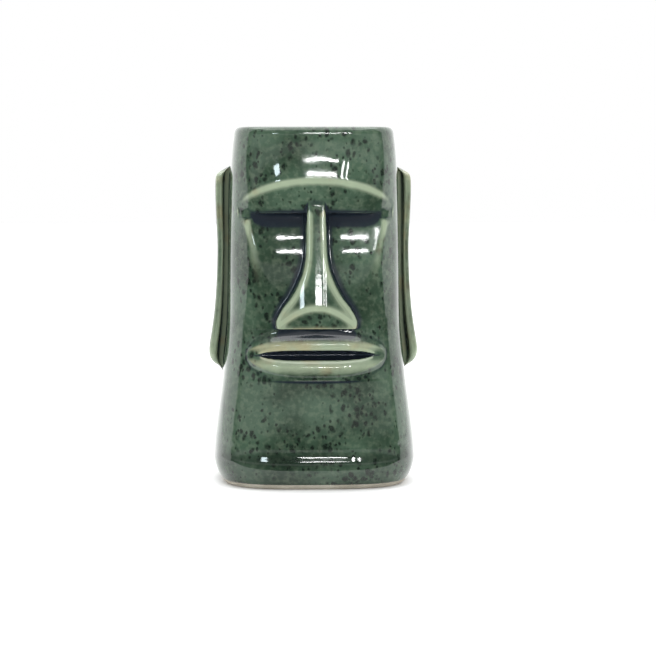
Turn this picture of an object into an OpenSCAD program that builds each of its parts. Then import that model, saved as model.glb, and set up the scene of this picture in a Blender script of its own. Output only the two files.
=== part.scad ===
// Tiki mug: a glazed stoneware cup in the shape of a moai head.
// The face looks along -Y, +Z is up, and the origin is the middle of the foot on the table.
// Every surface is a grid of rings: a column is a direction seen from above, and a row is a height.

/* [Body] */
// Height from the table to the top of the rim
mug_h = 160; // [140:1:180]
// Width across the temples, without the ears
head_w = 76.8; // [75:0.2:79]
// Width at the height of the rim
rim_w = 71.6; // [70:0.2:74]
// Width at the widest part of the base
base_w = 91.4; // [88:0.2:95]
// Width of the foot where it meets the table
foot_w = 81.2; // [78:0.2:84]
// Depth of the back half, as a share of half the width
back_depth = 0.97; // [0.93:0.01:0.99]
// Squareness of the outline seen from above, where 2 is an ellipse
squareness = 3.2; // [2.6:0.1:3.8]

/* [Wall] */
// Thickness of the wall, clay and both glazes together
wall = 5; // [4.4:0.1:6]
// Height of the rounded rim
rim_h = 3.6; // [3:0.1:4.2]
// Height of the cavity's floor above the table
floor_z = 7; // [5:0.5:10]
// Radius between the cavity's floor and wall
floor_r = 12; // [8:1:16]
// Thickness of each glaze coat
glaze_t = 0.4; // [0.3:0.05:0.6]
// Height of the bare clay band at the foot
bare_foot = 2.2; // [1.4:0.1:3]
// Width of the ring that stands on the table
foot_ring = 7; // [5:0.5:10]
// Height of the hollow under the foot
foot_hollow = 1.6; // [1:0.1:2.5]

/* [Face] */
// How far the brow ridge stands out of the forehead
brow_out = 2.4; // [2:0.1:3]
// Distance from the mug's axis to the deepest line of the eye socket
eye_depth = 31.8; // [31.4:0.1:32.4]
// Distance from the mug's axis to the tip of the nose
nose_depth = 44.2; // [43:0.1:45.4]
// How far the lips stand out of the face
lip_out = 3.2; // [2.6:0.1:3.8]
// Half the width of the mouth
lip_half = 31; // [28:0.5:32]

/* [Ears] */
// How far the ears stand out, as a multiple of the usual
ear_size = 1; // [0.7:0.05:1.2]

/* [Hidden] */

// Heights below are shares of the mug's height
share = mug_h / 160;

// The brow: a ridge over the forehead's lower edge, with a chamfer and an undercut below its crest
brow_half = 34;              // half the width of the brow's arch
brow_top_z = 136.4 * share;  // middle of the brow's arch
brow_line_z = 124.6 * share; // lower edge of the chamfer
brow_reach = 19 * share;     // height over which the forehead sweeps out to the brow
chamfer_slope = 0.4;         // depth that the chamfer loses over its height
undercut = 12;               // how steeply the undercut rises to the chamfer
crest_round = 1.4;
deep_z = 121.8 * share;      // deepest line under the brow

// The eye socket, which comes forward to the cheek and faster still to the mouth
eye_centre = 16;             // distance of the socket's deepest place from the nose's middle
eye_round = 125;             // radius of the socket seen from above
eye_corner = 3;              // how far the socket's outer corner lies under the plain head
eye_top_z = 98 * share;      // above this the socket also curves back
eye_top_curve = 0.0028;
cheek_z = 76 * share;
cheek_out = 4.6;             // how far the cheek stands out of the socket's deepest line
mouth_slope = 0.42;

// The nose
nose_slope = 0.19;
nose_curve = 0.0195;         // how fast the nose falls away to its wings
tip_z = 80.5 * share;
nostril_z = 71.2 * share;    // lower edge of the nose
nostril_slope = 0.5;
nose_undercut = 9;           // how steeply the face falls back under the nose

// The mouth: two lips with a lens-shaped slit between them
lip_sink = 1.2;              // how far the lips' base lies under the face
lip_reach = 11;              // height over which the base keeps that depth
upper_lip_z = 63.8 * share;
upper_lip_h = 8;
lower_lip_z = 54.4 * share;
lower_lip_h = 9;
lip_round = 8;               // height over which a lip falls away to the slit
slit_z = 59.5 * share;
slit_half_h = 2.6;
slit_depth = 6.4;

// [height, half width, depth of the front half] up the side of the body
side_profile = [
    [0, foot_w / 2, foot_w / 2 - 1],
    [3 * share, foot_w / 2 + 2, foot_w / 2 + 1],
    [6 * share, base_w / 2 - 1.5, base_w / 2 - 2.5],
    [9 * share, base_w / 2 - 0.5, base_w / 2 - 1.7],
    [12 * share, base_w / 2, base_w / 2 - 1.8],
    [15 * share, base_w / 2 - 0.1, base_w / 2 - 2.6],
    [18 * share, base_w / 2 - 0.3, base_w / 2 - 3.1],
    [22 * share, base_w / 2 - 0.7, base_w / 2 - 3.3],
    [32 * share, base_w / 2 - 2, base_w / 2 - 4.2],
    [44 * share, base_w / 2 - 3.7, base_w / 2 - 5.4],
    [56 * share, head_w / 2 + 2.2, head_w / 2 + 0.8],
    [72 * share, head_w / 2 + 0.7, head_w / 2 - 0.4],
    [104 * share, head_w / 2, head_w / 2 - 1.2],
    [132 * share, head_w / 2 - 0.4, head_w / 2 - 1.5],
    [148 * share, head_w / 2 - 1.2, head_w / 2 - 1.5],
    [160 * share, rim_w / 2, rim_w / 2 + 0.9]
];
// [height, half width between the nose's edges, slope of its flank beside them]
nose_profile = [
    [70.5 * share, 16.6, 3.2],
    [73 * share, 17.4, 2.6],
    [75.5 * share, 17, 2],
    [80 * share, 14.2, 1.6],
    [84.5 * share, 10.6, 1.7],
    [90 * share, 7.5, 2],
    [97 * share, 5, 2.6],
    [105 * share, 3.9, 3],
    [126 * share, 3.7, 3]
];
// [height, depth] that the cavity gives up behind the eye sockets
hollow_profile = [
    [58 * share, 0],
    [68 * share, 2.2],
    [80 * share, 4.2],
    [100 * share, 5.4],
    [112 * share, 6.4],
    [120 * share, 8.6],
    [126 * share, 7.8],
    [135 * share, 2.8],
    [146 * share, 0]
];
// [height, share of the full ear]
ear_profile = [
    [48 * share, 0],
    [50.5 * share, 0.25],
    [53 * share, 0.7],
    [56 * share, 0.98],
    [60 * share, 1.08],
    [68 * share, 1.02],
    [78 * share, 0.9],
    [92 * share, 0.8],
    [106 * share, 0.78],
    [122 * share, 0.9],
    [136 * share, 0.97],
    [139 * share, 0.85],
    [141 * share, 0.42],
    [142.5 * share, 0]
];
// Directions between which the ear leaves the head
ear_start = 94;
ear_end = 118;
// Section through a full ear, from the groove beside the head to the back of the ear:
// [direction from the face, shift outwards, shift backwards, direction of the surface there]
ear_section = [
    [ear_start, 0, 0, 90],
    [96, 3, -1.2, -45],
    [98, 3.4, -8.4, -45],
    [101, 6.2, -10.8, 45],
    [104, 7, -8.4, 80],
    [108, 6.4, -3.6, 100],
    [112, 4.2, 0, 110],
    [ear_end, 0, 0, 118]
];

function clamp(v, low, high) = max(low, min(high, v));
function smooth_min(a, b, k) = let (h = clamp(0.5 + (b - a) / (2 * k), 0, 1))
    b * (1 - h) + a * h - k * h * (1 - h);
function smooth_max(a, b, k) = -smooth_min(-a, -b, k);

// A smooth curve through the points [place, value, ...], for the value in the given slot
function segment(p, v, i = 0) = i >= len(p) - 2 || v < p[i + 1][0] ? i : segment(p, v, i + 1);
function tangent(p, i, slot) = let (a = max(i - 1, 0), b = min(i + 1, len(p) - 1))
    (p[b][slot] - p[a][slot]) / (p[b][0] - p[a][0]);
function curve(p, v, slot = 1) = let (
        i = segment(p, v),
        span = p[i + 1][0] - p[i][0],
        t = clamp((v - p[i][0]) / span, 0, 1),
        t2 = t * t,
        t3 = t2 * t
    )
    p[i][slot] * (2 * t3 - 3 * t2 + 1) + p[i + 1][slot] * (3 * t2 - 2 * t3)
    + span * (tangent(p, i, slot) * (t3 - 2 * t2 + t) + tangent(p, i + 1, slot) * (t3 - t2));

// The plain outline of the body at a height, taken in by an inset, in the direction phi from the face
function outline(phi, z, inset) = let (
        half = curve(side_profile, z),
        a = half - inset,
        b = (cos(phi) > 0 ? curve(side_profile, z, 2) : half * back_depth) - inset,
        r = pow(pow(abs(sin(phi)) / a, squareness) + pow(abs(cos(phi)) / b, squareness), -1 / squareness)
    )
    [r * sin(phi), -r * cos(phi)];

// The brow's crest follows an arch. The forehead sweeps out to it, and a chamfer runs down and back.
function brow_arch(x) = brow_line_z
    + (brow_top_z - brow_line_z) * pow(max(0, 1 - pow(x / brow_half, 2)), 0.6);
function crest_out(x) = brow_out * max(0, 1 - pow(x / brow_half, 4));
function forehead(x, z, plain) = let (
        from_above = pow(clamp(1 - (z - brow_arch(x)) / brow_reach, 0, 1), 2),
        from_below = clamp((z - cheek_z) / 25, 0, 1)
    )
    plain + crest_out(x) * from_above * from_below;
function chamfer(x, z, plain) = plain + crest_out(x) - chamfer_slope * (brow_arch(x) - z);
function eye_socket(x, z, plain) = let (
        middle = eye_depth - pow(abs(x) - eye_centre, 2) / (2 * eye_round)
            - eye_top_curve * pow(max(0, z - eye_top_z), 2),
        corner = plain - eye_corner * sqrt(max(0, 1 - pow(x / brow_half, 2)))
            + 0.5 * max(0, deep_z - 2 - z) + 2 * max(0, abs(x) - brow_half),
        deepest = smooth_min(middle, corner, 0.8),
        up = max(0, (z - cheek_z) / (deep_z - cheek_z)),
        cheek = deepest + cheek_out * (1 - up * up) + mouth_slope * smooth_max(cheek_z - z, 0, 6),
        under_brow = deepest + undercut * (z - deep_z)
    )
    smooth_max(cheek, smooth_min(under_brow, chamfer(x, z, plain), 0.7), 0.9);
function nose(x, z) = let (
        ridge = nose_depth + nose_slope * (tip_z - z) - nose_curve * x * x,
        underside = nose_depth - nostril_slope * (tip_z - z),
        flank = curve(nose_profile, z, 2) * smooth_max(abs(x) - curve(nose_profile, z), 0, 0.5)
    )
    smooth_min(ridge, underside, 0.8) - flank - nose_undercut * max(0, nostril_z - z);

// From 1 down to 0 over that reach, level at both ends
function fall(distance, reach) = 0.5 + 0.5 * cos(180 * clamp(distance / reach, 0, 1));
function lips(x, z, plain) = let (
        width = max(0, 1 - pow(abs(x) / lip_half, 3)),
        stretch = sqrt(width) + 0.06,
        above = z - slit_z - (upper_lip_z - slit_z) * stretch,
        below = slit_z - z - (slit_z - lower_lip_z) * stretch,
        upper = above > 0 ? fall(above, stretch * upper_lip_h) : fall(-above, lip_round),
        lower = below > 0 ? fall(below, stretch * lower_lip_h) : fall(-below, lip_round)
    )
    plain - lip_sink - max(0, abs(z - slit_z) - lip_reach)
    + (lip_out + lip_sink) * sqrt(width) * smooth_max(upper, lower, 0.15);
function mouth_slit(x, z, plain) = let (
        width = max(0, 1 - pow(x / (lip_half - 2.5), 4)),
        off = (z - slit_z) / (slit_half_h * (0.2 + 0.8 * width))
    )
    plain + lip_out - slit_depth * width * (1 - min(off * off, 4));

// How far the finished face stands from the axis, where the plain outline stands at `plain`
function face(x, z, plain) = smooth_min(
    smooth_max(
        smooth_max(smooth_min(forehead(x, z, plain), eye_socket(x, z, plain), crest_round), nose(x, z), 0.8),
        lips(x, z, plain), 1.6
    ),
    mouth_slit(x, z, plain), 0.6
);

// A point of the finished outside, taken in by an inset, with or without the ear that covers it
function outside(phi, z, inset, eared) = let (
        plain = outline(phi, z, 0),
        y = cos(phi) > 0.1 ? -face(plain.x, z, -plain.y) : plain.y,
        turn = abs(phi),
        in_ear = eared && turn > ear_start && turn < ear_end ? ear_size * curve(ear_profile, z) : 0,
        facing = turn + (in_ear > 0 ? min(in_ear, 1) * (curve(ear_section, turn, 3) - turn) : 0),
        x = plain.x + sign(phi) * in_ear * curve(ear_section, turn, 1),
        back = in_ear * curve(ear_section, turn, 2)
    )
    in_ear > 0 ? [x - sign(phi) * inset * sin(facing), y + back + inset * cos(facing), z]
    : [x * (1 - inset / norm([x, y])), y * (1 - inset / norm([x, y])), z];

// A point of the cavity: `shrink` takes it in at the floor, and `coat` puts it out to the bare clay
function inside(phi, z, shrink, coat) = let (
        plain = outline(phi, max(z, floor_z), wall + shrink - coat),
        give = curve(hollow_profile, z) * max(0, 1 - pow(plain.x / 34, 4)) * (cos(phi) > 0 ? 1 : 0)
    )
    [plain.x, plain.y + min(give, max(0, -plain.y)), z];

// A point of the rim, from 0 degrees at the outside to 180 at the inside, taken in by an inset
function rim(phi, turn, inset) = let (
        base_z = mug_h - rim_h,
        edge = outline(phi, base_z, wall / 2 - (wall / 2 - inset) * cos(turn))
    )
    [edge.x, edge.y, base_z + (rim_h - inset) * sin(turn)];

// Columns: directions from the face, closer together over the nose, the mouth's ends and the ears
half_columns = [
    3.6, 5.4, 7.2, 9.4, 13, 17.5, 22, 25.2, 27, 30.5, 34.5, 38, 41, 45.5, 51, 60, 75, 89,
    ear_start, 96, 98, 101, 104, 108, 112, ear_end, 128, 137, 149
];
columns = concat(
    [0], half_columns, [165, 180, 195], [for (i = [len(half_columns) - 1:-1:0]) -half_columns[i]]
);
// Rows of the outside from the glaze's lower edge to the rim, closer together over the face
outer_rows = concat(
    [bare_foot], [for (z = [5, 9, 12, 15, 20, 31, 43]) z * share],
    [for (z = [48, 50.5, 53, 55, 57.2, 59.5, 61.8, 64.2, 67]) z * share],
    [for (z = [70.3, 71.4, 74, 77, 80.5, 84, 89, 95, 102, 109, 116]) z * share],
    [for (z = [121.4, 122.3, 125, 128.5, 132, 134, 136, 139, 141, 142.5, 149]) z * share], [mug_h - rim_h]
);
inner_rows = [for (z = [36, 56, 74, 92, 108, 120, 131, 144]) z * share];
rim_turns = [35, 90, 145];
floor_turns = [0, 30, 60, 90];

function outer_rings(inset, eared) = [for (z = outer_rows) [for (p = columns) outside(p, z, inset, eared)]];
function rim_rings(inset) = [for (t = rim_turns) [for (p = columns) rim(p, t, inset)]];
function inner_rings(coat) = concat(
    [[for (p = columns) rim(p, 180, coat)]],
    [for (i = [len(inner_rows) - 1:-1:0]) [for (p = columns) inside(p, inner_rows[i], 0, coat)]],
    [for (i = [len(floor_turns) - 1:-1:0]) let (t = floor_turns[i])
        [for (p = columns)
            inside(p, floor_z - coat + floor_r * (1 - cos(t)), floor_r * (1 - sin(t)), coat)]]
);
// The bare foot, from the middle of the hollow under it out to the glaze's lower edge
function foot_rings() = [
    for (step = [[foot_ring + 2, foot_hollow], [foot_ring, 0], [0.8, 0], [glaze_t, 0.8]])
        [for (p = columns) let (q = outline(p, step[1], step[0])) [q.x, q.y, step[1]]]
];

// Two triangles for a quad. The diagonals of the two sides mirror each other, and are the same in
// every solid, so that solids which share points share their surface exactly.
function split(a, b, c, d, mirrored) = mirrored ? [[a, b, d], [b, c, d]] : [[a, b, c], [a, c, d]];
function bands(n, from, to) = [
    for (i = [0:n - 1]) let (j = (i + 1) % n)
        each split(from * n + i, from * n + j, to * n + j, to * n + i, i < n / 2)
];
function walls(n, first, count) = [for (r = [first:first + count - 2]) each bands(n, r, r + 1)];
function cap(n, ring, centre) = [for (i = [0:n - 1]) [centre, ring * n + i, ring * n + (i + 1) % n]];
function flipped(faces) = [for (f = faces) [f[0], f[2], f[1]]];
function joined(rings) = [for (r = rings) each r];

// A solid inside one skin of rings, whose ends close at two heights on the axis
module filled(rings, first_z, last_z) {
    n = len(rings[0]);
    count = len(rings);
    points = concat(joined(rings), [[0, 0, first_z], [0, 0, last_z]]);
    polyhedron(points, concat(
        walls(n, 0, count), flipped(cap(n, 0, count * n)), cap(n, count - 1, count * n + 1)
    ));
}

// A coat between two skins of rings, which either closes at two heights on the axis or stays open
module coat(over, under, last_z = []) {
    n = len(over[0]);
    count = len(over);
    centres = [for (z = last_z) [0, 0, z]];
    end = len(last_z) == 0 ? bands(n, count - 1, 2 * count - 1)
        : concat(cap(n, count - 1, 2 * count * n), flipped(cap(n, 2 * count - 1, 2 * count * n + 1)));
    polyhedron(concat(joined(over), joined(under), centres), concat(
        walls(n, 0, count), flipped(walls(n, count, count)), bands(n, count, 0), end
    ));
}

module clay_body() {
    color("wheat")
        filled(
            concat(foot_rings(), outer_rings(glaze_t, false), rim_rings(glaze_t), inner_rings(glaze_t)),
            foot_hollow, floor_z - glaze_t
        );
}

module outer_glaze() {
    function skin(inset) = concat(
        outer_rings(inset, true), rim_rings(inset), [[for (p = columns) rim(p, 180, inset)]]
    );
    color("darkseagreen") coat(skin(0), skin(glaze_t));
}

module liner_glaze() {
    color("seagreen") coat(inner_rings(0), inner_rings(glaze_t), [floor_z, floor_z - glaze_t]);
}

// An ear is the clay between the head and the skin under the glaze. Its border lies on the head, so
// the border points of its two grids are the same.
module ear(side) {
    across = [for (p = columns) if (p * side >= ear_start && p * side <= ear_end) p];
    lowest = ear_profile[0][0] - 0.1;
    highest = ear_profile[len(ear_profile) - 1][0] + 0.1;
    up = [for (z = outer_rows) if (z > lowest && z < highest) z];
    nx = len(across);
    nz = len(up);
    skin = [for (z = up) each [for (p = across) outside(p, z, glaze_t, true)]];
    head = [for (z = up) each [for (p = across) outside(p, z, glaze_t, false)]];
    on_border = function(i, j) i == 0 || i == nx - 1 || j == 0 || j == nz - 1;
    front = function(i, j) j * nx + i;
    back = function(i, j) on_border(i, j) ? front(i, j) : nx * nz + front(i, j);
    inside_border = function(v) v < nx * nz && !on_border(v % nx, floor(v / nx));
    inner_corner = function(f) len([for (v = f) if (inside_border(v)) v]) > 0;
    quads = [for (j = [0:nz - 2], i = [0:nx - 2]) [i, j]];
    grid = function(at) [for (q = quads) let (i = q.x, j = q.y)
        each split(at(i, j), at(i + 1, j), at(i + 1, j + 1), at(i, j + 1), side > 0)];
    solid_faces = concat(
        [for (f = grid(front)) if (inner_corner(f)) f],
        [for (f = flipped(grid(back))) if (max(f) >= nx * nz) f]
    );
    color("wheat") polyhedron(concat(skin, head), solid_faces);
}

module left_ear() ear(-1);

module right_ear() ear(1);

clay_body();
left_ear();
right_ear();
outer_glaze();
liner_glaze();
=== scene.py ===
"""Tiki mug: a glazed stoneware cup in the shape of a moai head, on a white table.

The clay, its two glaze coats and the ears come from the same curves as the CAD model, on a much finer
grid. A row of the grid is a height and a column is a direction seen from above. Shapes are worked out
in millimetres and turned to metres when a mesh is made.
"""

from math import radians

import bpy
import numpy as np
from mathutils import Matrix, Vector


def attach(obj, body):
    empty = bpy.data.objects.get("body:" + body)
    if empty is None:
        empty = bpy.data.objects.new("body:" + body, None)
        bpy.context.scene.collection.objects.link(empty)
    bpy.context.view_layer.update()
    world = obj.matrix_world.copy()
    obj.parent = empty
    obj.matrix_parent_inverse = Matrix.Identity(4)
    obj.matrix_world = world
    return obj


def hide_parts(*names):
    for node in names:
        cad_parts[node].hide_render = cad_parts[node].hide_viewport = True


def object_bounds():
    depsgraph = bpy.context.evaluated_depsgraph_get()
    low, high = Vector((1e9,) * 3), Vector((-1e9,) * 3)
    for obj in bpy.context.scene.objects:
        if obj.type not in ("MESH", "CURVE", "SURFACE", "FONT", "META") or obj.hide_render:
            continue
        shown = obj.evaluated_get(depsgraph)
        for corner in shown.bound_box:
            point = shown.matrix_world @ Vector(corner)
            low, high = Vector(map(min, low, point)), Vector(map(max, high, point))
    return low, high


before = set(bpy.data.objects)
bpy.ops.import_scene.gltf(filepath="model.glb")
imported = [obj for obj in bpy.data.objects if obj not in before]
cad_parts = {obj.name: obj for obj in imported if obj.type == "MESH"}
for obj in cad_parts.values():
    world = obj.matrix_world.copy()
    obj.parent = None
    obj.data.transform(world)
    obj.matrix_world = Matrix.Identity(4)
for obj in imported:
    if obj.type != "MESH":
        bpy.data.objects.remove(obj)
cad_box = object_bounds()

MM = 0.001
low, high = cad_box
MUG_H = (high[2] - low[2]) / MM
SHARE = MUG_H / 160

# ---------------------------------------------------------------- sizes, in millimetres

# The cup. BARE_FOOT is the height up to which it has no glaze, and BACK_DEPTH a share of the half width.
WALL = 5.0
RIM_H = 3.6
FLOOR_Z = 7.0
FLOOR_R = 12.0
GLAZE_T = 0.4
CLAY_GAP = 0.02
BARE_FOOT = 2.2
FOOT_RING = 7.0
FOOT_HOLLOW = 1.6
SQUARENESS = 3.2
BACK_DEPTH = 0.97

# The face takes in the directions whose cosine is over this. It is 1 straight ahead.
FACE_EDGE = 0.1

# The brow: an arch that stands out, a chamfer below it, and an undercut down to the deepest height
BROW_OUT = 2.4
BROW_HALF = 34.0
BROW_TOP_Z = 136.4 * SHARE
BROW_LINE_Z = 124.6 * SHARE
DEEP_Z = 121.8 * SHARE
BROW_REACH = 19.0 * SHARE
BROW_FADE = 25.0
ARCH_POWER = 0.6
CHAMFER_SLOPE = 0.4
UNDERCUT = 12.0
CREST_ROUND = 1.4

# The eye sockets, and the cheeks below them
EYE_DEPTH = 31.8
EYE_CENTRE = 16.0
EYE_ROUND = 125.0
EYE_CORNER = 3.0
CORNER_SLOPE = 0.5
CORNER_DROP = 2.0
EYE_TOP_Z = 98.0 * SHARE
EYE_TOP_CURVE = 0.0028
CHEEK_Z = 76.0 * SHARE
CHEEK_OUT = 4.6
MOUTH_SLOPE = 0.42

# The nose: its ridge at the height of the tip, and the underside from there back to the nostrils
NOSE_DEPTH = 44.2
NOSE_SLOPE = 0.19
NOSE_CURVE = 0.0195
TIP_Z = 80.5 * SHARE
NOSTRIL_Z = 71.2 * SHARE
NOSTRIL_SLOPE = 0.5
NOSE_UNDERCUT = 9.0

# The lips, and the slit between them
LIP_OUT = 3.2
LIP_HALF = 31.0
LIP_SINK = 1.2
LIP_REACH = 11.0
UPPER_LIP_Z = 63.8 * SHARE
UPPER_LIP_ROUND = 8.0
UPPER_LIP_H = 8.0
LOWER_LIP_Z = 54.4 * SHARE
LOWER_LIP_ROUND = 8.0
LOWER_LIP_H = 9.0
SLIT_Z = 59.5 * SHARE
SLIT_HALF_H = 2.6
SLIT_DEPTH = 6.4
SLIT_INSET = 2.5

# The ears lie between these directions, in degrees from the face, and a groove runs along their fronts
EAR_START = 94.0
EAR_END = 118.0
EAR_GROOVE_END = 99.0

# Painted shade, where the glaze also pools thick and dark: under the brow and the nose, and in the slit.
# A painted dark reflection in the fold above the base
SHADE_Z = 119.8 * SHARE
SHADE_H = 3.2 * SHARE
SHADE_FROM = 1.0
SHADE_OVER = 2.5
UNDER_NOSE_Z = 68.8 * SHARE
UNDER_NOSE_H = 1.7
BASE_FOLD_Z = 13.5 * SHARE
BASE_FOLD_H = 3.0 * SHARE
BASE_FOLD_PAINTED_REFLECTION = 0.55
SLIT_FROM = 0.2
SLIT_OVER = 0.7
POOL_AND_SHADE_SINK = 0.3

# Where it runs thin and pale, and painted light in the ears' shaded grooves, added to how far the
# surface stands out in millimetres
LIP_THIN = 0.018
CREST_THIN = 0.07
CREST_THIN_D = 0.8
CREST_END = 6.0
GROOVE_PAINTED_LIGHT = 0.12
UNDER_TIP_Z = 75.5 * SHARE
UNDER_TIP_H = 6.0

# The brow's lower edge stays as dark as the rest, within this height, and the ears show less relief
QUIET_HALF = 31.0
QUIET_OVER = 3.0
QUIET_H = 2.2
EAR_RELIEF = 0.4

# Each curve below is rows of (place, value, ...) that a smooth line runs through.
# Height, half width and front depth up the side of the body
SIDE = [
    (0, 40.6, 39.6), (3, 42.6, 41.6), (6, 44.2, 43.2), (9, 45.2, 44.0), (12, 45.7, 43.9),
    (15, 45.6, 43.1), (18, 45.4, 42.6), (22, 45.0, 42.4), (32, 43.7, 41.5), (44, 42.0, 40.3),
    (56, 40.6, 39.2), (72, 39.1, 38.0), (104, 38.4, 37.2), (132, 38.0, 36.9), (148, 37.2, 36.9),
    (160, 35.8, 36.7),
]
# Height, half width between the nose's edges, and how steeply its flank falls beside them
NOSE = [
    (70.5, 16.6, 3.2), (73, 17.4, 2.6), (75.5, 17.0, 2.0), (80, 14.2, 1.6), (84.5, 10.6, 1.7),
    (90, 7.5, 2.0), (97, 5.0, 2.6), (105, 3.9, 3.0), (126, 3.7, 3.0),
]
# Height, and the depth that the cavity gives up behind the eye sockets
HOLLOW = [
    (58, 0), (68, 2.2), (80, 4.2), (100, 5.4), (112, 6.4), (120, 8.6), (126, 7.8), (135, 2.8), (146, 0),
]
HOLLOW_HALF = 34.0
# Height, and the share of the full ear
EAR = [
    (48, 0), (50.5, 0.25), (53, 0.7), (56, 0.98), (60, 1.08), (68, 1.02), (78, 0.9), (92, 0.8),
    (106, 0.78), (122, 0.9), (136, 0.97), (139, 0.85), (141, 0.42), (142.5, 0),
]
# Direction, shift outwards, shift backwards, and the direction that the ear's surface faces
EAR_SECTION = [
    (EAR_START, 0, 0, 90), (96, 3, -1.2, -45), (98, 3.4, -8.4, -45), (101, 6.2, -10.8, 45),
    (104, 7, -8.4, 80), (108, 6.4, -3.6, 100), (112, 4.2, 0, 110), (EAR_END, 0, 0, 118),
]


# ---------------------------------------------------------------- curves

def smooth_min(a, b, k):
    """The smaller of two, with the corner between them rounded over about k."""
    h = np.clip(0.5 + (b - a) / (2 * k), 0, 1)
    return b * (1 - h) + a * h - k * h * (1 - h)


def smooth_max(a, b, k):
    return -smooth_min(-a, -b, k)


def curve(points, at, slot=1):
    """A smooth line through the points, for the value in that slot. It stays flat beyond both ends."""
    table = np.array(points, dtype=float)
    x, y = table[:, 0], table[:, slot]
    at = np.clip(at, x[0], x[-1])
    i = np.clip(np.searchsorted(x, at, side="right") - 1, 0, len(x) - 2)
    points_at = np.arange(len(x))
    before = np.maximum(points_at - 1, 0)
    after = np.minimum(points_at + 1, len(x) - 1)
    tangent = (y[after] - y[before]) / (x[after] - x[before])
    span = x[i + 1] - x[i]
    t = (at - x[i]) / span
    return (
        y[i] * (2 * t**3 - 3 * t**2 + 1) + y[i + 1] * (3 * t**2 - 2 * t**3)
        + span * (tangent[i] * (t**3 - 2 * t**2 + t) + tangent[i + 1] * (t**3 - t**2))
    )


def at_share(points):
    """The same curve on a mug of this height."""
    return [(p[0] * SHARE, *p[1:]) for p in points]


def outline(phi, z, inset=0.0):
    """The plain body at a height, taken in by an inset, in the direction phi from the face."""
    half = curve(at_share(SIDE), z)
    s, c = np.sin(np.radians(phi)), np.cos(np.radians(phi))
    across = half - inset
    deep = np.where(c > 0, curve(at_share(SIDE), z, 2), half * BACK_DEPTH) - inset
    r = (np.abs(s / across) ** SQUARENESS + np.abs(c / deep) ** SQUARENESS) ** (-1 / SQUARENESS)
    return r * s, -r * c


# ---------------------------------------------------------------- the face
# Each function gives how far a surface stands from the mug's axis at (x, z).

def brow(x, z, plain):
    """The sweep of the forehead out to the brow's arch, and the chamfer from there down and back."""
    rise = np.maximum(0, 1 - (x / BROW_HALF) ** 2) ** ARCH_POWER
    arch = BROW_LINE_Z + (BROW_TOP_Z - BROW_LINE_Z) * rise
    crest = plain + BROW_OUT * np.maximum(0, 1 - (x / BROW_HALF) ** 4)
    from_above = np.clip(1 - (z - arch) / BROW_REACH, 0, 1) ** 2
    from_below = np.clip((z - CHEEK_Z) / BROW_FADE, 0, 1)
    fading = from_above * from_below
    return plain + (crest - plain) * fading, crest - CHAMFER_SLOPE * (arch - z)


def eye_socket(x, z, plain, chamfer):
    """The sockets and cheeks, with the undercut and the chamfer above them."""
    middle = EYE_DEPTH - (np.abs(x) - EYE_CENTRE) ** 2 / (2 * EYE_ROUND)
    middle = middle - EYE_TOP_CURVE * np.maximum(0, z - EYE_TOP_Z) ** 2
    corner = plain - EYE_CORNER * np.sqrt(np.maximum(0, 1 - (x / BROW_HALF) ** 2))
    corner = corner + CORNER_SLOPE * np.maximum(0, DEEP_Z - CORNER_DROP - z)
    corner = corner + 2 * np.maximum(0, np.abs(x) - BROW_HALF)
    deepest = smooth_min(middle, corner, 0.8)
    up = np.clip((z - CHEEK_Z) / (DEEP_Z - CHEEK_Z), 0, None)
    cheek = deepest + CHEEK_OUT * (1 - up**2) + MOUTH_SLOPE * smooth_max(CHEEK_Z - z, 0 * z, 6)
    undercut = deepest + UNDERCUT * (z - DEEP_Z)
    return smooth_max(cheek, smooth_min(undercut, chamfer, 0.7), 0.9)


def nose(x, z):
    """The ridge and the underside of the nose, with flanks that fall away beside them."""
    ridge = NOSE_DEPTH + NOSE_SLOPE * (TIP_Z - z) - NOSE_CURVE * x**2
    underside = NOSE_DEPTH - NOSTRIL_SLOPE * (TIP_Z - z)
    beside = np.abs(x) - curve(at_share(NOSE), z)
    flank = curve(at_share(NOSE), z, 2) * smooth_max(beside, np.zeros_like(beside), 0.5)
    return smooth_min(ridge, underside, 0.8) - flank - NOSE_UNDERCUT * np.maximum(0, NOSTRIL_Z - z)


def fall(distance, reach):
    """From 1 down to 0 over that reach, level at both ends."""
    return 0.5 + 0.5 * np.cos(np.pi * np.clip(distance / reach, 0, 1))


def lips(x, z, plain):
    """Two rounded lips that narrow towards the corners of the mouth, sunk in the face around them."""
    width = np.maximum(0, 1 - (np.abs(x) / LIP_HALF) ** 3)
    stretch = width**0.5 + 0.06
    above = z - SLIT_Z - (UPPER_LIP_Z - SLIT_Z) * stretch
    below = SLIT_Z - z - (SLIT_Z - LOWER_LIP_Z) * stretch
    upper = fall(np.where(above > 0, above / stretch / UPPER_LIP_H, -above / UPPER_LIP_ROUND), 1)
    lower = fall(np.where(below > 0, below / stretch / LOWER_LIP_H, -below / LOWER_LIP_ROUND), 1)
    away = np.maximum(0, np.abs(z - SLIT_Z) - LIP_REACH)
    fullness = width**0.5 * smooth_max(upper, lower, 0.15)
    return plain - LIP_SINK - away + (LIP_OUT + LIP_SINK) * fullness


def mouth_slit(x, z, plain):
    """The dark cut between the lips."""
    width = np.maximum(0, 1 - (x / (LIP_HALF - SLIT_INSET)) ** 4)
    off = np.abs(z - SLIT_Z) / (SLIT_HALF_H * (0.2 + 0.8 * width))
    return plain + LIP_OUT - SLIT_DEPTH * width * (1 - np.minimum(off**2, 4))


def face(x, z, plain):
    """The whole front: brow and sockets cut in, nose and lips raised, and the slit cut last."""
    forehead, chamfer = brow(x, z, plain)
    cut = smooth_min(forehead, eye_socket(x, z, plain, chamfer), CREST_ROUND)
    raised = smooth_max(smooth_max(cut, nose(x, z), 0.8), lips(x, z, plain), 1.6)
    return smooth_min(raised, mouth_slit(x, z, plain), 0.6)


# ---------------------------------------------------------------- the grid

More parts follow.
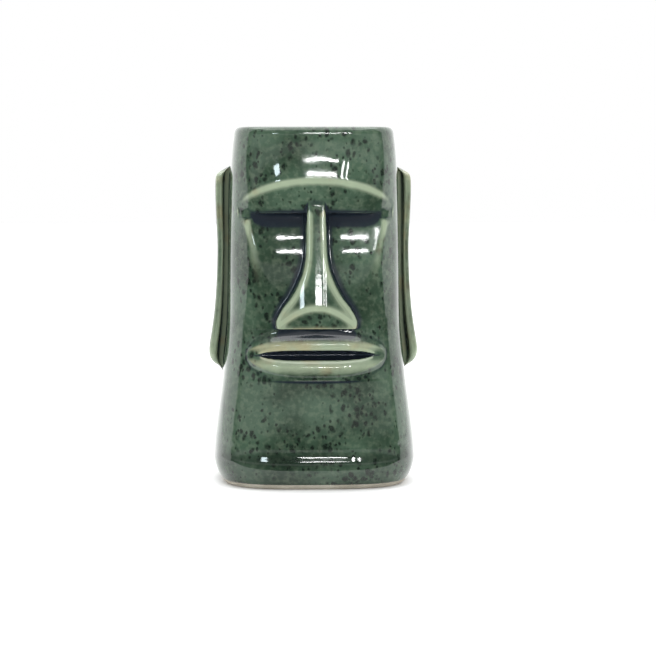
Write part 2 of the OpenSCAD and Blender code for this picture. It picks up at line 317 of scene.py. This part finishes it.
def spread(stops):
    """Places between the stops (from, to, step), each stretch evenly divided."""
    runs = [np.linspace(a, b, max(2, round((b - a) / step)) + 1)[:-1] for a, b, step in stops]
    return np.concatenate(runs)


HALF_TURN = spread([
    (0, 44, 0.56), (44, 60, 0.9), (60, 90, 1.6), (90, EAR_START, 0.8), (EAR_START, 105, 0.25),
    (105, EAR_END, 0.6), (EAR_END, 126, 1.6), (126, 148, 1.2), (148, 180, 2.2),
])
COLUMNS = np.concatenate([HALF_TURN, [180], 360 - HALF_TURN[:0:-1]])
ROWS = SHARE * spread([
    (BARE_FOOT / SHARE, 20, 0.6), (20, 46, 1.0), (46, 69.8, 0.36), (69.8, 71.6, 0.12), (71.6, 90, 0.5),
    (90, 116, 0.7), (116, 121.4, 0.4), (121.4, 123, 0.1), (123, 144, 0.42), (144, 154, 0.7),
    (154, (MUG_H - RIM_H) / SHARE + 0.01, 0.4),
])


def outside(phi, z, inset=0.0):
    """Points of the finished outside, ears and all, taken in by an inset."""
    x, y = outline(phi, z)
    c = np.cos(np.radians(phi))
    y = np.where(c > FACE_EDGE, -face(x, z, -y), y)
    turn = np.where(phi > 180, 360 - phi, phi)
    side = np.where(phi > 180, -1, 1)
    ear = np.where((turn > EAR_START) & (turn < EAR_END), curve(at_share(EAR), z), 0)
    facing = np.radians(turn + np.minimum(ear, 1) * (curve(EAR_SECTION, turn, 3) - turn))
    reach = np.hypot(x, y)
    eared_x = x + side * (ear * curve(EAR_SECTION, turn) - inset * np.sin(facing))
    eared_y = y + ear * curve(EAR_SECTION, turn, 2) + inset * np.cos(facing)
    eared = ear > 0
    return (
        np.where(eared, eared_x, x * (1 - inset / reach)),
        np.where(eared, eared_y, y * (1 - inset / reach)),
        z + 0 * x,
    )


def rim(phi, turn, inset=0.0):
    """Points of the rounded rim, from 0 degrees at the outside to 180 at the inside."""
    base = MUG_H - RIM_H
    x, y = outline(phi, base, WALL / 2 - (WALL / 2 - inset) * np.cos(np.radians(turn)))
    return x, y, base + (RIM_H - inset) * np.sin(np.radians(turn)) + 0 * x


def inside(phi, z, shrink, coat):
    """Points of the cavity. shrink takes it in at the floor, and coat puts it out to the bare clay."""
    x, y = outline(phi, np.maximum(z, FLOOR_Z), WALL + shrink - coat)
    c = np.cos(np.radians(phi))
    give = curve(at_share(HOLLOW), z) * np.maximum(0, 1 - (x / HOLLOW_HALF) ** 4) * (c > 0)
    return x, y + np.minimum(give, np.maximum(0, -y)), z + 0 * x


def rings(point, rows, columns):
    """A grid of points, one ring for each row."""
    phi, row = np.meshgrid(columns, rows)
    return np.stack(point(phi, row), axis=-1)


def outer_rings(inset):
    """The outside from the foot to the rim, and over the rim to its inside."""
    body = rings(lambda phi, z: outside(phi, z, inset), ROWS, COLUMNS)
    top = rings(lambda phi, turn: rim(phi, turn, inset), np.linspace(0, 180, 25), COLUMNS)
    return np.concatenate([body, top])


def inner_rings(coat, columns):
    """The cavity from the rim's inside down the wall, round the corner and in over the floor."""
    top = rings(lambda phi, turn: rim(phi, turn, coat), [180], columns)
    heights = np.linspace(MUG_H - RIM_H - 1, FLOOR_Z + FLOOR_R, 90)
    wall = rings(lambda phi, z: inside(phi, z, 0, coat), heights, columns)
    turns = np.linspace(86, 0, 14)
    z = FLOOR_Z - coat + FLOOR_R * (1 - np.cos(np.radians(turns)))
    shrink = dict(zip(z, FLOOR_R * (1 - np.sin(np.radians(turns)))))
    corner = np.concatenate([
        rings(lambda phi, h: inside(phi, h, shrink[level], coat), [level], columns) for level in z
    ])
    nearer = np.array([0.25, 0.5, 0.75])[:, None, None]
    floor = corner[-1:] * (1 - nearer * [1, 1, 0])
    return np.concatenate([top, wall, corner, floor])


# ---------------------------------------------------------------- meshes

def strips(count, n, first=0, flip=False):
    """Quads between the rings of a grid."""
    i = np.arange(n)
    j = (i + 1) % n
    r = first + np.arange(count - 1)[:, None] * n
    quads = np.stack([r + i, r + j, r + n + j, r + n + i], axis=-1).reshape(-1, 4)
    return quads[:, ::-1] if flip else quads


def build(name, points, faces, material):
    """A smooth mesh object from points in millimetres."""
    mesh = bpy.data.meshes.new(name)
    mesh.from_pydata((points * MM).tolist(), [], [list(map(int, f)) for f in faces])
    mesh.validate()
    mesh.shade_smooth()
    mesh.materials.append(material)
    piece = bpy.data.objects.new(name, mesh)
    bpy.context.collection.objects.link(piece)
    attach(piece, "root")
    return piece


def coat(name, over, under, material, closed_z=None):
    """A coat between two skins of rings, joined along the first ring.

    The last ring is joined too, or closed_z gives the heights at which each skin closes on the axis.
    """
    count, n = over.shape[:2]
    points = np.concatenate([over.reshape(-1, 3), under.reshape(-1, 3)])
    half = count * n
    i = np.arange(n)
    j = (i + 1) % n
    faces = [*strips(count, n), *strips(count, n, half, flip=True)]
    faces += list(np.stack([half + i, half + j, j, i], -1))
    last = half - n
    if closed_z is None:
        faces += list(np.stack([last + i, last + j, half + last + j, half + last + i], -1))
    else:
        points = np.concatenate([points, [[0, 0, closed_z[0]], [0, 0, closed_z[1]]]])
        faces += list(np.stack([0 * i + 2 * half, last + i, last + j], -1))
        faces += list(np.stack([0 * i + 2 * half + 1, half + last + j, half + last + i], -1))
    return build(name, points, faces, material)


def relief(grid, passes):
    """How far each point stands proud of its surroundings, in millimetres: over 0 on an edge."""
    soft = grid.copy()
    for _ in range(passes):
        around = np.roll(soft, 1, axis=1) + np.roll(soft, -1, axis=1)
        soft[1:-1] = 0.5 * soft[1:-1] + 0.125 * (around[1:-1] + soft[2:] + soft[:-2])
    across = np.roll(grid, -1, axis=1) - np.roll(grid, 1, axis=1)
    up = np.gradient(grid, axis=0)
    normal = np.cross(across, up)
    normal /= np.maximum(np.linalg.norm(normal, axis=-1, keepdims=True), 1e-9)
    return ((grid - soft) * normal).sum(axis=-1)


def store(piece, name, values):
    """Keeps a number for each point, for the material to read."""
    data = np.zeros(len(piece.data.vertices))
    data[: values.size] = values.ravel()
    layer = piece.data.attributes.new(name, "FLOAT", "POINT")
    layer.data.foreach_set("value", data.astype(np.float32))


# ---------------------------------------------------------------- materials

# Glaze colours: the warm patches on pale edges, and the bluish glaze in creases
WARM_EDGE = (176, 168, 132)
CREASE = (28, 35, 44)


class Nodes:
    """A short way to write a material's nodes."""

    def __init__(self, name):
        self.material = bpy.data.materials.new(name)
        self.material.use_nodes = True
        self.tree = self.material.node_tree
        self.shader = self.tree.nodes["Principled BSDF"]

    def add(self, kind, inputs=None, **settings):
        node = self.tree.nodes.new(kind)
        for key, value in settings.items():
            setattr(node, key, value)
        for key, value in (inputs or {}).items():
            self.set(node, key, value)
        return node

    def set(self, node, key, value):
        socket = node.inputs[key]
        if isinstance(value, bpy.types.NodeSocket):
            self.tree.links.new(value, socket)
        else:
            socket.default_value = value

    def math(self, operation, a, b):
        return self.add("ShaderNodeMath", {0: a, 1: b}, operation=operation).outputs[0]

    def ramp(self, value, start, end, low=0.0, high=1.0):
        """Goes smoothly from low to high as the value goes from start to end."""
        inputs = {0: value, 1: start, 2: end, 3: low, 4: high}
        return self.add("ShaderNodeMapRange", inputs, interpolation_type="SMOOTHSTEP").outputs[0]

    def mix(self, factor, a, b):
        node = self.add("ShaderNodeMix", data_type="RGBA")
        self.set(node, 0, factor)
        self.set(node, 6, a)
        self.set(node, 7, b)
        return node.outputs[2]

    def noise(self, scale, detail):
        inputs = {"Scale": scale, "Detail": detail, "Vector": self.place()}
        return self.add("ShaderNodeTexNoise", inputs).outputs[0]

    def stored(self, name):
        """The number that store() keeps for each point."""
        return self.add("ShaderNodeAttribute", attribute_name=name).outputs["Fac"]

    def place(self, stretch=(1, 1, 1)):
        where = self.add("ShaderNodeTexCoord").outputs["Object"]
        return self.add("ShaderNodeMapping", {"Vector": where, "Scale": stretch}).outputs[0]

    def finish(self, **sockets):
        for key, value in sockets.items():
            self.set(self.shader, key.replace("_", " "), value)
        return self.material


def linear(red, green, blue):
    """An sRGB colour, 0 to 255, as Blender wants it."""
    def one(v):
        v /= 255
        return v / 12.92 if v < 0.04045 else ((v + 0.055) / 1.055) ** 2.4
    return (one(red), one(green), one(blue), 1)


def speckle(nodes, cell, size, wander):
    """Small dark spots of pooled iron, in loose clusters and of uneven shape."""
    drift = nodes.add("ShaderNodeTexNoise", {"Scale": 260, "Detail": 2.0, "Vector": nodes.place()})
    by = {0: drift.outputs["Color"], 1: (wander, wander, wander)}
    moved = nodes.add("ShaderNodeVectorMath", by, operation="MULTIPLY")
    to = {0: nodes.place((1, 1, 0.75)), 1: moved.outputs[0]}
    where = nodes.add("ShaderNodeVectorMath", to, operation="ADD")
    cells = nodes.add("ShaderNodeTexVoronoi", {"Scale": 1 / (cell * MM), "Vector": where.outputs[0]})
    cluster = nodes.ramp(nodes.noise(60, 2), 0.3, 0.6)
    reach = nodes.math("MULTIPLY", cluster, size)
    spot = nodes.math("SUBTRACT", reach, cells.outputs["Distance"])
    return nodes.ramp(spot, -0.1, 0.16)


def breaking_pooling_and_painted_shade(nodes, colour, edge, pool_and_shade):
    """Pale where the stored relief stands out, warm in places, and bluish dark where it sinks."""
    # Painted shade under the brow and the nose and in the slit, where the glaze also pools, and a
    # painted dark reflection above the base.
    colour = nodes.mix(nodes.stored("pooled_and_shaded"), colour, linear(*pool_and_shade))
    proud, broad = nodes.stored("edge"), nodes.stored("form")
    wobble = nodes.math("MULTIPLY", nodes.math("SUBTRACT", nodes.noise(190, 3), 0.5), 0.03)
    thin = nodes.ramp(nodes.math("ADD", proud, wobble), 0.015, 0.09, 0, 0.8)
    lifted = nodes.ramp(nodes.math("ADD", broad, wobble), 0.05, 0.3, 0, 0.6)
    pale = nodes.math("MAXIMUM", thin, lifted)
    warm = nodes.ramp(nodes.noise(60, 2), 0.5, 0.7, 0, 0.8)
    breaking = nodes.mix(warm, linear(*edge), linear(*WARM_EDGE))
    colour = nodes.mix(nodes.math("MULTIPLY", pale, 0.85), colour, breaking)
    crease = nodes.ramp(proud, -0.012, -0.09)
    valley = nodes.ramp(broad, -0.05, -0.35, 0, 0.75)
    thick = nodes.math("MAXIMUM", crease, valley)
    return nodes.mix(nodes.math("MULTIPLY", thick, 0.92), colour, linear(*CREASE))


def glaze(name, body, deep, edge, pool_and_shade, has_relief=True):
    """Glossy green glaze. With relief it is pale over edges and deep and dark in creases, with painted
    shade under the brow and the nose and in the slit, a painted dark reflection above the base, and
    painted light in the ears' grooves.
    """
    nodes = Nodes(name)
    clouds = nodes.ramp(nodes.noise(46, 4), 0.34, 0.66)
    colour = nodes.mix(clouds, linear(*deep), linear(*body))
    fine = nodes.ramp(nodes.noise(420, 3), 0.4, 0.75, 0, 0.1)
    colour = nodes.mix(fine, colour, linear(*edge))
    spots = nodes.math("MAXIMUM", speckle(nodes, 3.8, 0.36, 0.003), speckle(nodes, 2.4, 0.3, 0.002))
    colour = nodes.mix(nodes.math("MULTIPLY", spots, 0.85), colour, linear(*pool_and_shade))
    if has_relief:
        colour = breaking_pooling_and_painted_shade(nodes, colour, edge, pool_and_shade)
    ripple = nodes.math("ADD", nodes.noise(120, 2), nodes.math("MULTIPLY", nodes.noise(900, 2), 0.06))
    bump = nodes.add("ShaderNodeBump", {"Height": ripple, "Strength": 0.03, "Distance": 0.002})
    roughness = nodes.ramp(nodes.noise(75, 3), 0.3, 0.7, 0.05, 0.1)
    if has_relief:
        dull = nodes.math("MULTIPLY", nodes.stored("pooled_and_shaded"), 0.12)
        roughness = nodes.math("MAXIMUM", roughness, dull)
    nodes.finish(IOR=1.52, Specular_IOR_Level=0.55)
    return nodes.finish(Base_Color=colour, Roughness=roughness, Normal=bump.outputs[0])


def bare_clay():
    """Pale unglazed stoneware with a fine sandy grain."""
    nodes = Nodes("bare_clay")
    clouds = nodes.ramp(nodes.noise(90, 3), 0.3, 0.7)
    tone = nodes.mix(clouds, linear(174, 167, 152), linear(196, 190, 176))
    grains = nodes.ramp(nodes.noise(2600, 2), 0.62, 0.72)
    tone = nodes.mix(nodes.math("MULTIPLY", grains, 0.45), tone, linear(112, 98, 80))
    sand = nodes.noise(1800, 4)
    bump = nodes.add("ShaderNodeBump", {"Height": sand, "Strength": 0.25, "Distance": 0.0005})
    return nodes.finish(Base_Color=tone, Roughness=0.82, Normal=bump.outputs[0])


# ---------------------------------------------------------------- the mug

def bell(z, middle, width):
    """1 at the middle height, and down to 0 on both sides."""
    return np.exp(-((z - middle) / width) ** 2)


def pooling_and_painted_shade(x, z, plain, facing):
    """How far glaze pools and painted shade darkens each point of the outside, from 0 to 1: under the
    brow, in the slit and under the nose.
    """
    cut_in = np.where(facing, plain - face(x, z, plain), 0)
    slit = np.where(facing, lips(x, z, plain) - mouth_slit(x, z, plain), 0)
    # Painted shade, with pooled glaze, under the brow and in the slit.
    pooled_and_shaded = np.clip((cut_in - SHADE_FROM) / SHADE_OVER, 0, 1) * bell(z, SHADE_Z, SHADE_H)
    pooled_and_shaded = np.maximum(pooled_and_shaded, np.clip((slit - SLIT_FROM) / SLIT_OVER, 0, 1))
    # Painted shade under the nose.
    below_nose = np.clip((NOSE[0][1] + 1 - np.abs(x)) / 2, 0, 1) * bell(z, UNDER_NOSE_Z, UNDER_NOSE_H)
    return np.maximum(pooled_and_shaded, np.where(facing, below_nose, 0))


def thin_glaze_and_groove_light(x, z, plain, facing):
    """What full lips, the nose's tip and the brow's crest add to the relief as thin glaze, and painted
    light in the ears' grooves.
    """
    full_lip = np.where(facing, np.clip((lips(x, z, plain) - plain) / LIP_OUT, 0, 1), 0)
    near_tip = np.clip(1 - np.abs(z - UNDER_TIP_Z) / UNDER_TIP_H, 0, 1)
    tip = near_tip * np.clip((NOSE[0][1] - 1 - np.abs(x)) / 2, 0, 1) * facing
    forehead, chamfer = brow(x, z, plain)
    crest = np.exp(-((forehead - chamfer) / CREST_THIN_D) ** 2) * facing
    crest = crest * np.clip((BROW_HALF - np.abs(x)) / CREST_END, 0, 1)
    turn = np.minimum(COLUMNS, 360 - COLUMNS)
    in_groove = (turn > EAR_START) & (turn < EAR_GROOVE_END)
    # Painted light that lifts the ears' shaded grooves.
    groove = GROOVE_PAINTED_LIGHT * in_groove * (curve(at_share(EAR), z) > 0.3)
    return LIP_THIN * np.maximum(full_lip, tip) + CREST_THIN * crest + groove


def outer_coat():
    """The outside's glaze, ears and all, with the numbers that its colour follows."""
    over = outer_rings(0)
    material = glaze(
        "outer_glaze", body=(64, 84, 68), deep=(36, 53, 40), edge=(164, 177, 150), pool_and_shade=(12, 22, 17)
    )
    piece = coat("outer_glaze_coat", over, outer_rings(GLAZE_T), material)
    sides = slice(0, len(ROWS))
    phi, z = np.meshgrid(COLUMNS, ROWS)
    x, y = outline(phi, z)
    facing = np.cos(np.radians(phi)) > FACE_EDGE
    pooled_and_shaded = pooling_and_painted_shade(x, z, -y, facing)
    # The fold above the base gets a painted dark reflection.
    store(piece, "pooled_and_shaded", np.maximum(pooled_and_shaded, BASE_FOLD_PAINTED_REFLECTION * bell(z, BASE_FOLD_Z, BASE_FOLD_H)))
    thinned_and_groove_light = thin_glaze_and_groove_light(x, z, -y, facing)
    under_brow = np.clip((QUIET_HALF - np.abs(x)) / QUIET_OVER, 0, 1) * facing
    quiet = 1 - under_brow * bell(z, BROW_LINE_Z, QUIET_H)
    plain_body = over.copy()
    plain_body[sides, :, 0] = x
    plain_body[sides, :, 1] = y
    turn = np.minimum(COLUMNS, 360 - COLUMNS)
    on_ear = (turn > EAR_START - 1) & (turn < EAR_END + 2)
    for name, passes in (("edge", 12), ("form", 60)):
        field = relief(over, passes) - relief(plain_body, passes)
        field = np.where(on_ear & ((field < 0) | (name == "form")), field * EAR_RELIEF, field)
        side = field[sides]
        side = np.where(side > 0, side * quiet, side) + thinned_and_groove_light
        # Where painted shade lies, the relief is pushed down too, which darkens it further.
        field[sides] = np.minimum(side, side * (1 - pooled_and_shaded)) - POOL_AND_SHADE_SINK * pooled_and_shaded
        store(piece, name, field)
    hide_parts("outer_glaze", "left_ear", "right_ear")


def liner_coat():
    """The inside's glaze, on every third column of the grid."""
    columns = COLUMNS[::3]
    material = glaze(
        "liner_glaze", body=(84, 108, 88), deep=(60, 82, 64), edge=(150, 165, 140), pool_and_shade=(34, 50, 40),
        has_relief=False,
    )
    over = inner_rings(0, columns)
    under = inner_rings(GLAZE_T, columns)
    piece = coat("liner_glaze_coat", over, under, material, (FLOOR_Z, FLOOR_Z - GLAZE_T))
    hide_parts("liner_glaze")


def clay_cup():
    """The clay under both coats. It shows at the foot, and underneath."""
    # Inset and height of each ring, from the hollow under the foot out and up to the glaze
    steps = [
        (FOOT_RING + 3, FOOT_HOLLOW), (FOOT_RING + 1, FOOT_HOLLOW), (FOOT_RING + 0.3, 0.35),
        (FOOT_RING, 0), (1.0, 0), (0.35, 0.25), (0.1, 0.9), (GLAZE_T * 0.6, BARE_FOOT),
    ]
    foot = [np.stack([*outline(COLUMNS, z, inset), z + 0 * COLUMNS], -1)[None] for inset, z in steps]
    clay_t = GLAZE_T + CLAY_GAP
    body = rings(lambda phi, z: outside(phi, z, clay_t), ROWS[1:], COLUMNS)
    top = rings(lambda phi, turn: rim(phi, turn, clay_t), np.linspace(0, 180, 9), COLUMNS)
    cavity = inner_rings(clay_t, COLUMNS)[1:][::4]
    grid = np.concatenate([*foot, body, top, cavity])
    count, n = grid.shape[:2]
    points = np.concatenate([grid.reshape(-1, 3), [[0, 0, FOOT_HOLLOW], [0, 0, FLOOR_Z - clay_t]]])
    i = np.arange(n)
    j = (i + 1) % n
    last = (count - 1) * n
    faces = [*strips(count, n)]
    faces += list(np.stack([0 * i + count * n, j, i], -1))
    faces += list(np.stack([0 * i + count * n + 1, last + i, last + j], -1))
    piece = build("clay_cup", points, faces, bare_clay())
    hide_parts("clay_body")


# ---------------------------------------------------------------- table, light and camera

def table():
    """A flat white floor in two planes. The near one doesn't show in reflections.

    It glows a little as painted light, and less close to the mug, a painted shade round the foot that
    leaves a soft shadow there.
    """
    nodes = Nodes("table")
    tone = nodes.mix(nodes.noise(3, 2), (0.88, 0.88, 0.88, 1), (0.92, 0.92, 0.92, 1))
    away = nodes.add("ShaderNodeVectorMath", {0: nodes.place()}, operation="LENGTH").outputs["Value"]
    # Painted glow, dimmed near the mug as painted shade.
    glow = nodes.ramp(away, 0.04, 0.16, 0.06, 0.35)
    nodes.finish(Emission_Color=(1, 1, 1, 1), Emission_Strength=glow)
    white = nodes.finish(Base_Color=tone, Roughness=0.7)
    reach, split = 3, -0.065
    for name, near, far in (("table", split, reach), ("table_front", -reach, split)):
        corners = [(-reach, near, 0), (reach, near, 0), (reach, far, 0), (-reach, far, 0)]
        mesh = bpy.data.meshes.new(name)
        mesh.from_pydata(corners, [], [(0, 1, 2, 3)])
        mesh.materials.append(white)
        floor = bpy.data.objects.new(name, mesh)
        floor.visible_glossy = name == "table"
        bpy.context.collection.objects.link(floor)


def area_light(name, place, aim, size, power, colour=(1, 1, 1)):
    """A flat rectangular light, size (across, up) in metres."""
    data = bpy.data.lights.new(name, "AREA")
    data.shape = "RECTANGLE"
    data.size, data.size_y = size
    data.energy = power
    data.color = colour
    lamp = bpy.data.objects.new(name, data)
    lamp.location = place
    lamp.rotation_euler = (Vector(aim) - Vector(place)).to_track_quat("-Z", "Y").to_euler()
    lamp.visible_camera = False
    bpy.context.collection.objects.link(lamp)


def lights():
    """A broad light overhead, and small ones in front that the glaze reflects as bright marks."""
    middle = (0, 0, 0.09)
    area_light("overhead", (0, 0.1, 1.3), (0, 0, 0), (1.6, 1.6), 22)
    for name, z in (("bar_upper", 0.53), ("bar_lower", 0.39)):
        area_light(name, (0.09, -1.0, z), middle, (0.2, 0.014), 0.9)
    for name, x in (("post_near", 0.25), ("post_far", 0.33)):
        area_light(name, (x, -0.9, 0.46), middle, (0.014, 0.2), 0.6)
    area_light("window", (-0.5, -1.0, 0.44), middle, (0.14, 0.1), 0.9, (0.8, 0.94, 1))


def surroundings():
    """White behind and at the sides, a dark room in front, and white wherever the camera looks past."""
    world = bpy.data.worlds.new("room")
    bpy.context.scene.world = world
    world.use_nodes = True
    tree = world.node_tree
    tree.nodes.clear()

    def node(kind, *links, **settings):
        made = tree.nodes.new(kind)
        for key, value in settings.items():
            setattr(made, key, value)
        for socket, source in links:
            tree.links.new(source, made.inputs[socket])
        return made

    def greys(value, stops):
        """A smooth run of greys over a direction from -1 to 1."""
        half = node("ShaderNodeMath", (0, value), operation="MULTIPLY_ADD")
        half.inputs[1].default_value = 0.5
        half.inputs[2].default_value = 0.5
        ramp = node("ShaderNodeValToRGB", (0, half.outputs[0]))
        ramp.color_ramp.interpolation = "EASE"
        while len(ramp.color_ramp.elements) < len(stops):
            ramp.color_ramp.elements.new(0.5)
        for element, (at, level) in zip(ramp.color_ramp.elements, stops):
            element.position = 0.5 + at / 2
            element.color = (level, level, level, 1)
        return ramp.outputs[0]

    where = node("ShaderNodeTexCoord").outputs["Generated"]
    axes = node("ShaderNodeSeparateXYZ", (0, where)).outputs
    by_height = [
        (-1, 0.1), (-0.05, 0.04), (0.045, 0.05), (0.09, 0.65), (0.14, 0.7), (0.21, 0.06), (0.5, 0.1),
        (0.8, 0.8), (1, 0.9),
    ]
    room = greys(axes["Z"], by_height)
    backdrop = greys(axes["Y"], [(-1, 0), (-0.1, 0), (0.04, 0), (0.12, 1), (1, 1)])
    edge = greys(axes["Y"], [(-1, 1), (-0.25, 1), (-0.02, 0.25), (0.05, 0.25), (0.1, 1), (1, 1)])
    lit = node("ShaderNodeMix", (0, backdrop), (6, room), data_type="RGBA")
    lit.inputs[7].default_value = (1.6, 1.6, 1.6, 1)
    both = [(6, lit.outputs[2]), (7, edge)]
    shaded = node("ShaderNodeMix", *both, data_type="RGBA", blend_type="MULTIPLY")
    shaded.inputs[0].default_value = 1
    glow = node("ShaderNodeBackground", (0, shaded.outputs[2]))
    plain = node("ShaderNodeBackground")
    plain.inputs["Color"].default_value = (1, 1, 1, 1)
    seen = node("ShaderNodeLightPath").outputs["Is Camera Ray"]
    mix = node("ShaderNodeMixShader", (0, seen), (1, glow.outputs[0]), (2, plain.outputs[0]))
    node("ShaderNodeOutputWorld", (0, mix.outputs[0]))


def camera():
    """Level with the rim, a little to the left of the face, and aimed just below the middle."""
    distance, side, height = 1.137, radians(-2.25), MUG_H * MM
    aim_right, aim_height = 0.0067, 0.0685
    data = bpy.data.cameras.new("camera")
    data.lens = 137.3
    data.sensor_width = 36
    data.clip_start = 0.05
    eye = bpy.data.objects.new("camera", data)
    eye.location = (distance * np.sin(side), -distance * np.cos(side), height)
    aim = Vector((aim_right * np.cos(side), aim_right * np.sin(side), aim_height))
    eye.rotation_euler = (aim - eye.location).to_track_quat("-Z", "Y").to_euler()
    bpy.context.collection.objects.link(eye)
    bpy.context.scene.camera = eye
    bpy.context.scene.view_settings.view_transform = "Standard"


outer_coat()
liner_coat()
clay_cup()
table()
lights()
surroundings()
camera()
